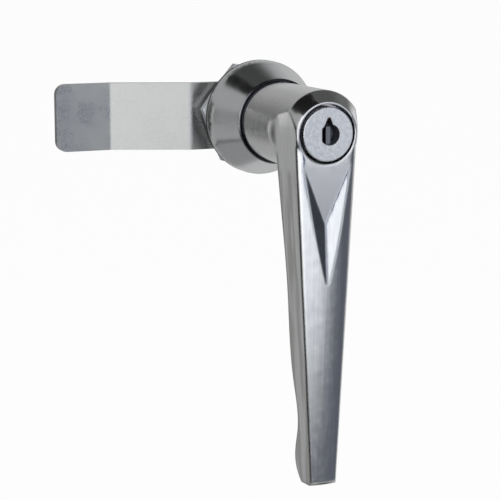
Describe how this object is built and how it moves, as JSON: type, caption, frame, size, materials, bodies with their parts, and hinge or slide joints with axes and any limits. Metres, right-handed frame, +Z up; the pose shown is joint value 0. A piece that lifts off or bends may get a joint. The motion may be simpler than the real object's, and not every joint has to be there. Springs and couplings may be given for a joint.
{
  "type": "swing handle lock",
  "caption": "Keyed L-shaped swing handle in a conical rose, held by a nut behind a sheet-metal door, with a cranked cam that turns behind the frame.",
  "frame": {"origin": "on the lock's turning axis, at the outer face of the panel it is fastened to", "axes": "+Y from the front into the cabinet along the turning axis, +Z up, with the lever hanging to -Z and the cam pointing to -X when the door is closed"},
  "size_m": [0.0848, 0.0778, 0.133],
  "materials": {
    "handle_finish": "bright chrome plate on die-cast zinc",
    "rose_finish": "pearl chrome plate on die-cast zinc",
    "cap_finish": "fine-ground chrome plate",
    "cast_zinc": "bare die-cast zinc",
    "zinc_plate": "zinc-plated steel",
    "cam_plate": "zinc-plated steel strip",
    "spring_steel": "plain spring steel",
    "wafer_brass": "stamped brass",
    "seal_rubber": "black rubber",
    "washer_nylon": "natural nylon"
  },
  "bodies": {
    "rose_body": {"rose": "rose_finish", "panel_gasket": "seal_rubber", "thrust_washer": "washer_nylon", "lock_washer": "zinc_plate", "hex_nut": "zinc_plate"},
    "handle_body": {"handle": "handle_finish", "o_ring": "seal_rubber", "cylinder_shell": "cast_zinc", "cylinder_pin": "spring_steel", "stop_disc": "zinc_plate", "cam": "cam_plate", "cam_washer": "zinc_plate", "spring_washer": "spring_steel", "cam_screw": "zinc_plate"},
    "plug_body": {"plug": "cast_zinc", "plug_cap": "cap_finish", "plug_clip": "spring_steel", "tail_driver": "zinc_plate", "upper_springs": "spring_steel", "lower_springs": "spring_steel"},
    "upper_wafer_set": {"upper_wafers": "wafer_brass"},
    "lower_wafer_set": {"lower_wafers": "wafer_brass"},
    "bolt_body": {"lock_bolt": "zinc_plate"}
  },
  "joints": [
    {"name": "handle_turn", "type": "hinge", "parent": "rose_body", "child": "handle_body", "pos_m": [0, 0, 0], "axis": [0, -1, 0], "range_deg": [0, 90]},
    {"name": "plug_turn", "type": "hinge", "parent": "handle_body", "child": "plug_body", "pos_m": [0, -0.05, 0], "axis": [0, -1, 0], "range_deg": [0, 90]},
    {"name": "bolt_slide", "type": "slide", "parent": "handle_body", "child": "bolt_body", "axis": [0, 0, 1], "range_m": [0, 0.00255]},
    {"name": "upper_wafer_slide", "type": "slide", "parent": "plug_body", "child": "upper_wafer_set", "axis": [0, 0, 1], "range_m": [0, 0.0007], "deforming": ["upper_springs"]},
    {"name": "lower_wafer_slide", "type": "slide", "parent": "plug_body", "child": "lower_wafer_set", "axis": [0, 0, -1], "range_m": [0, 0.0007], "deforming": ["lower_springs"]}
  ],
  "couplings": [
    {"joint": "bolt_slide", "follows": "plug_turn", "m_per_rad": 0.0016206},
    {"joint": "lower_wafer_slide", "follows": "upper_wafer_slide", "ratio": 1}
  ]
}
